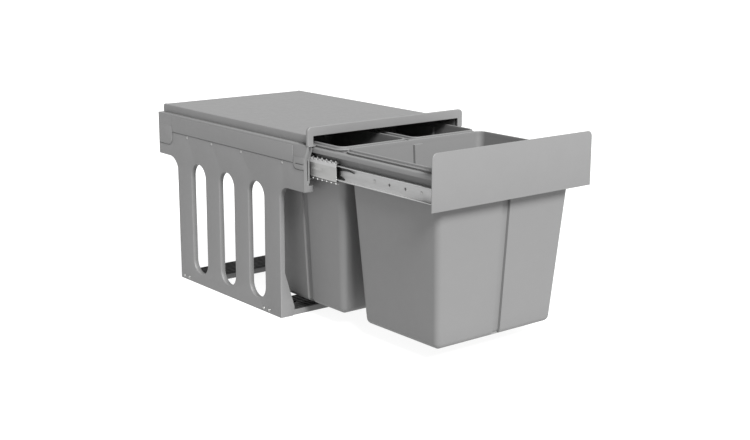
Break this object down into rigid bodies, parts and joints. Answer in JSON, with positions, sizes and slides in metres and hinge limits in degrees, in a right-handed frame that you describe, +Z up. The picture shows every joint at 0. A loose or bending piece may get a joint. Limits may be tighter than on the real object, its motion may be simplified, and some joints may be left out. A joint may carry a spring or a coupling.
{
  "type": "pull-out under-sink waste bin unit",
  "caption": "Pull-out waste bin unit for a kitchen base cabinet: steel frame with lid, drawer on full-extension ball slides, and lift-out plastic bins behind a plain front panel.",
  "frame": {"origin": "centre of the base screw pattern, on the plane of the cabinet floor", "axes": "+Z up, away from the cabinet floor; +Y to the rear of the cabinet, so the drawer opens towards -Y; +X to the right seen from the front"},
  "size_m": [0.342, 0.799, 0.3468],
  "materials": {
    "frame_paint": "satin grey powder coat",
    "rail_paint": "satin grey powder coat, drawer ring and hidden brackets",
    "slide_zinc": "zinc-plated rolled steel, slide members and ball cages",
    "ball_steel": "polished ball steel",
    "fastener_zinc": "zinc-plated rivets and screws",
    "bin_plastic": "grey moulded polypropylene",
    "black_plastic": "black moulded plastic"
  },
  "bodies": {
    "frame": {"side_frame_left": "frame_paint", "side_frame_right": "frame_paint", "lid": "frame_paint", "lid_rivets": "fastener_zinc", "base_rail_front": "rail_paint", "base_rail_rear": "rail_paint", "base_cover_front": "black_plastic", "base_cover_rear": "black_plastic", "base_side_screws_left": "fastener_zinc", "base_side_screws_right": "fastener_zinc", "slide_bracket_left": "rail_paint", "slide_bracket_right": "rail_paint", "slide_rivets_left": "fastener_zinc", "slide_rivets_right": "fastener_zinc", "slide_outer_left": "slide_zinc", "slide_outer_right": "slide_zinc"},
    "drawer": {"slide_inner_left": "slide_zinc", "slide_inner_right": "slide_zinc", "release_lever_left": "black_plastic", "release_lever_right": "black_plastic", "drawer_rail_left": "rail_paint", "drawer_rail_right": "rail_paint", "rail_rivets_left": "fastener_zinc", "rail_rivets_right": "fastener_zinc", "drawer_cross_front": "rail_paint", "drawer_cross_middle": "rail_paint", "drawer_cross_rear": "rail_paint", "front_panel": "frame_paint", "front_panel_screws": "fastener_zinc"},
    "middle_left": {"slide_middle_left": "slide_zinc", "outer_ball_cage_left": "slide_zinc", "outer_balls_left": "ball_steel"},
    "cage_left": {"inner_ball_cage_left": "slide_zinc", "inner_balls_left": "ball_steel"},
    "middle_right": {"slide_middle_right": "slide_zinc", "outer_ball_cage_right": "slide_zinc", "outer_balls_right": "ball_steel"},
    "cage_right": {"inner_ball_cage_right": "slide_zinc", "inner_balls_right": "ball_steel"},
    "front_bin": {"front_bin": "bin_plastic"},
    "rear_bin_left": {"rear_bin_left": "bin_plastic"},
    "rear_bin_right": {"rear_bin_right": "bin_plastic"}
  },
  "joints": [
    {"name": "drawer_slide", "type": "slide", "parent": "frame", "child": "drawer", "axis": [0, -1, 0], "range_m": [-0.305, 0.145]},
    {"name": "slide_middle_left_travel", "type": "slide", "parent": "frame", "child": "middle_left", "axis": [0, -1, 0], "range_m": [-0.066, 0.0315]},
    {"name": "ball_cage_left_travel", "type": "slide", "parent": "frame", "child": "cage_left", "axis": [0, -1, 0], "range_m": [-0.1856, 0.0883]},
    {"name": "slide_middle_right_travel", "type": "slide", "parent": "frame", "child": "middle_right", "axis": [0, -1, 0], "range_m": [-0.066, 0.0315]},
    {"name": "ball_cage_right_travel", "type": "slide", "parent": "frame", "child": "cage_right", "axis": [0, -1, 0], "range_m": [-0.1856, 0.0883]},
    {"name": "front_bin_lift", "type": "slide", "parent": "drawer", "child": "front_bin", "axis": [0, 0, 1], "range_m": [0, 0.008]},
    {"name": "rear_bin_left_lift", "type": "slide", "parent": "drawer", "child": "rear_bin_left", "axis": [0, 0, 1], "range_m": [0, 0.008]},
    {"name": "rear_bin_right_lift", "type": "slide", "parent": "drawer", "child": "rear_bin_right", "axis": [0, 0, 1], "range_m": [0, 0.008]}
  ],
  "couplings": [
    {"joint": "slide_middle_left_travel", "follows": "drawer_slide", "ratio": 0.216},
    {"joint": "ball_cage_left_travel", "follows": "drawer_slide", "ratio": 0.608},
    {"joint": "slide_middle_right_travel", "follows": "drawer_slide", "ratio": 0.216},
    {"joint": "ball_cage_right_travel", "follows": "drawer_slide", "ratio": 0.608}
  ]
}
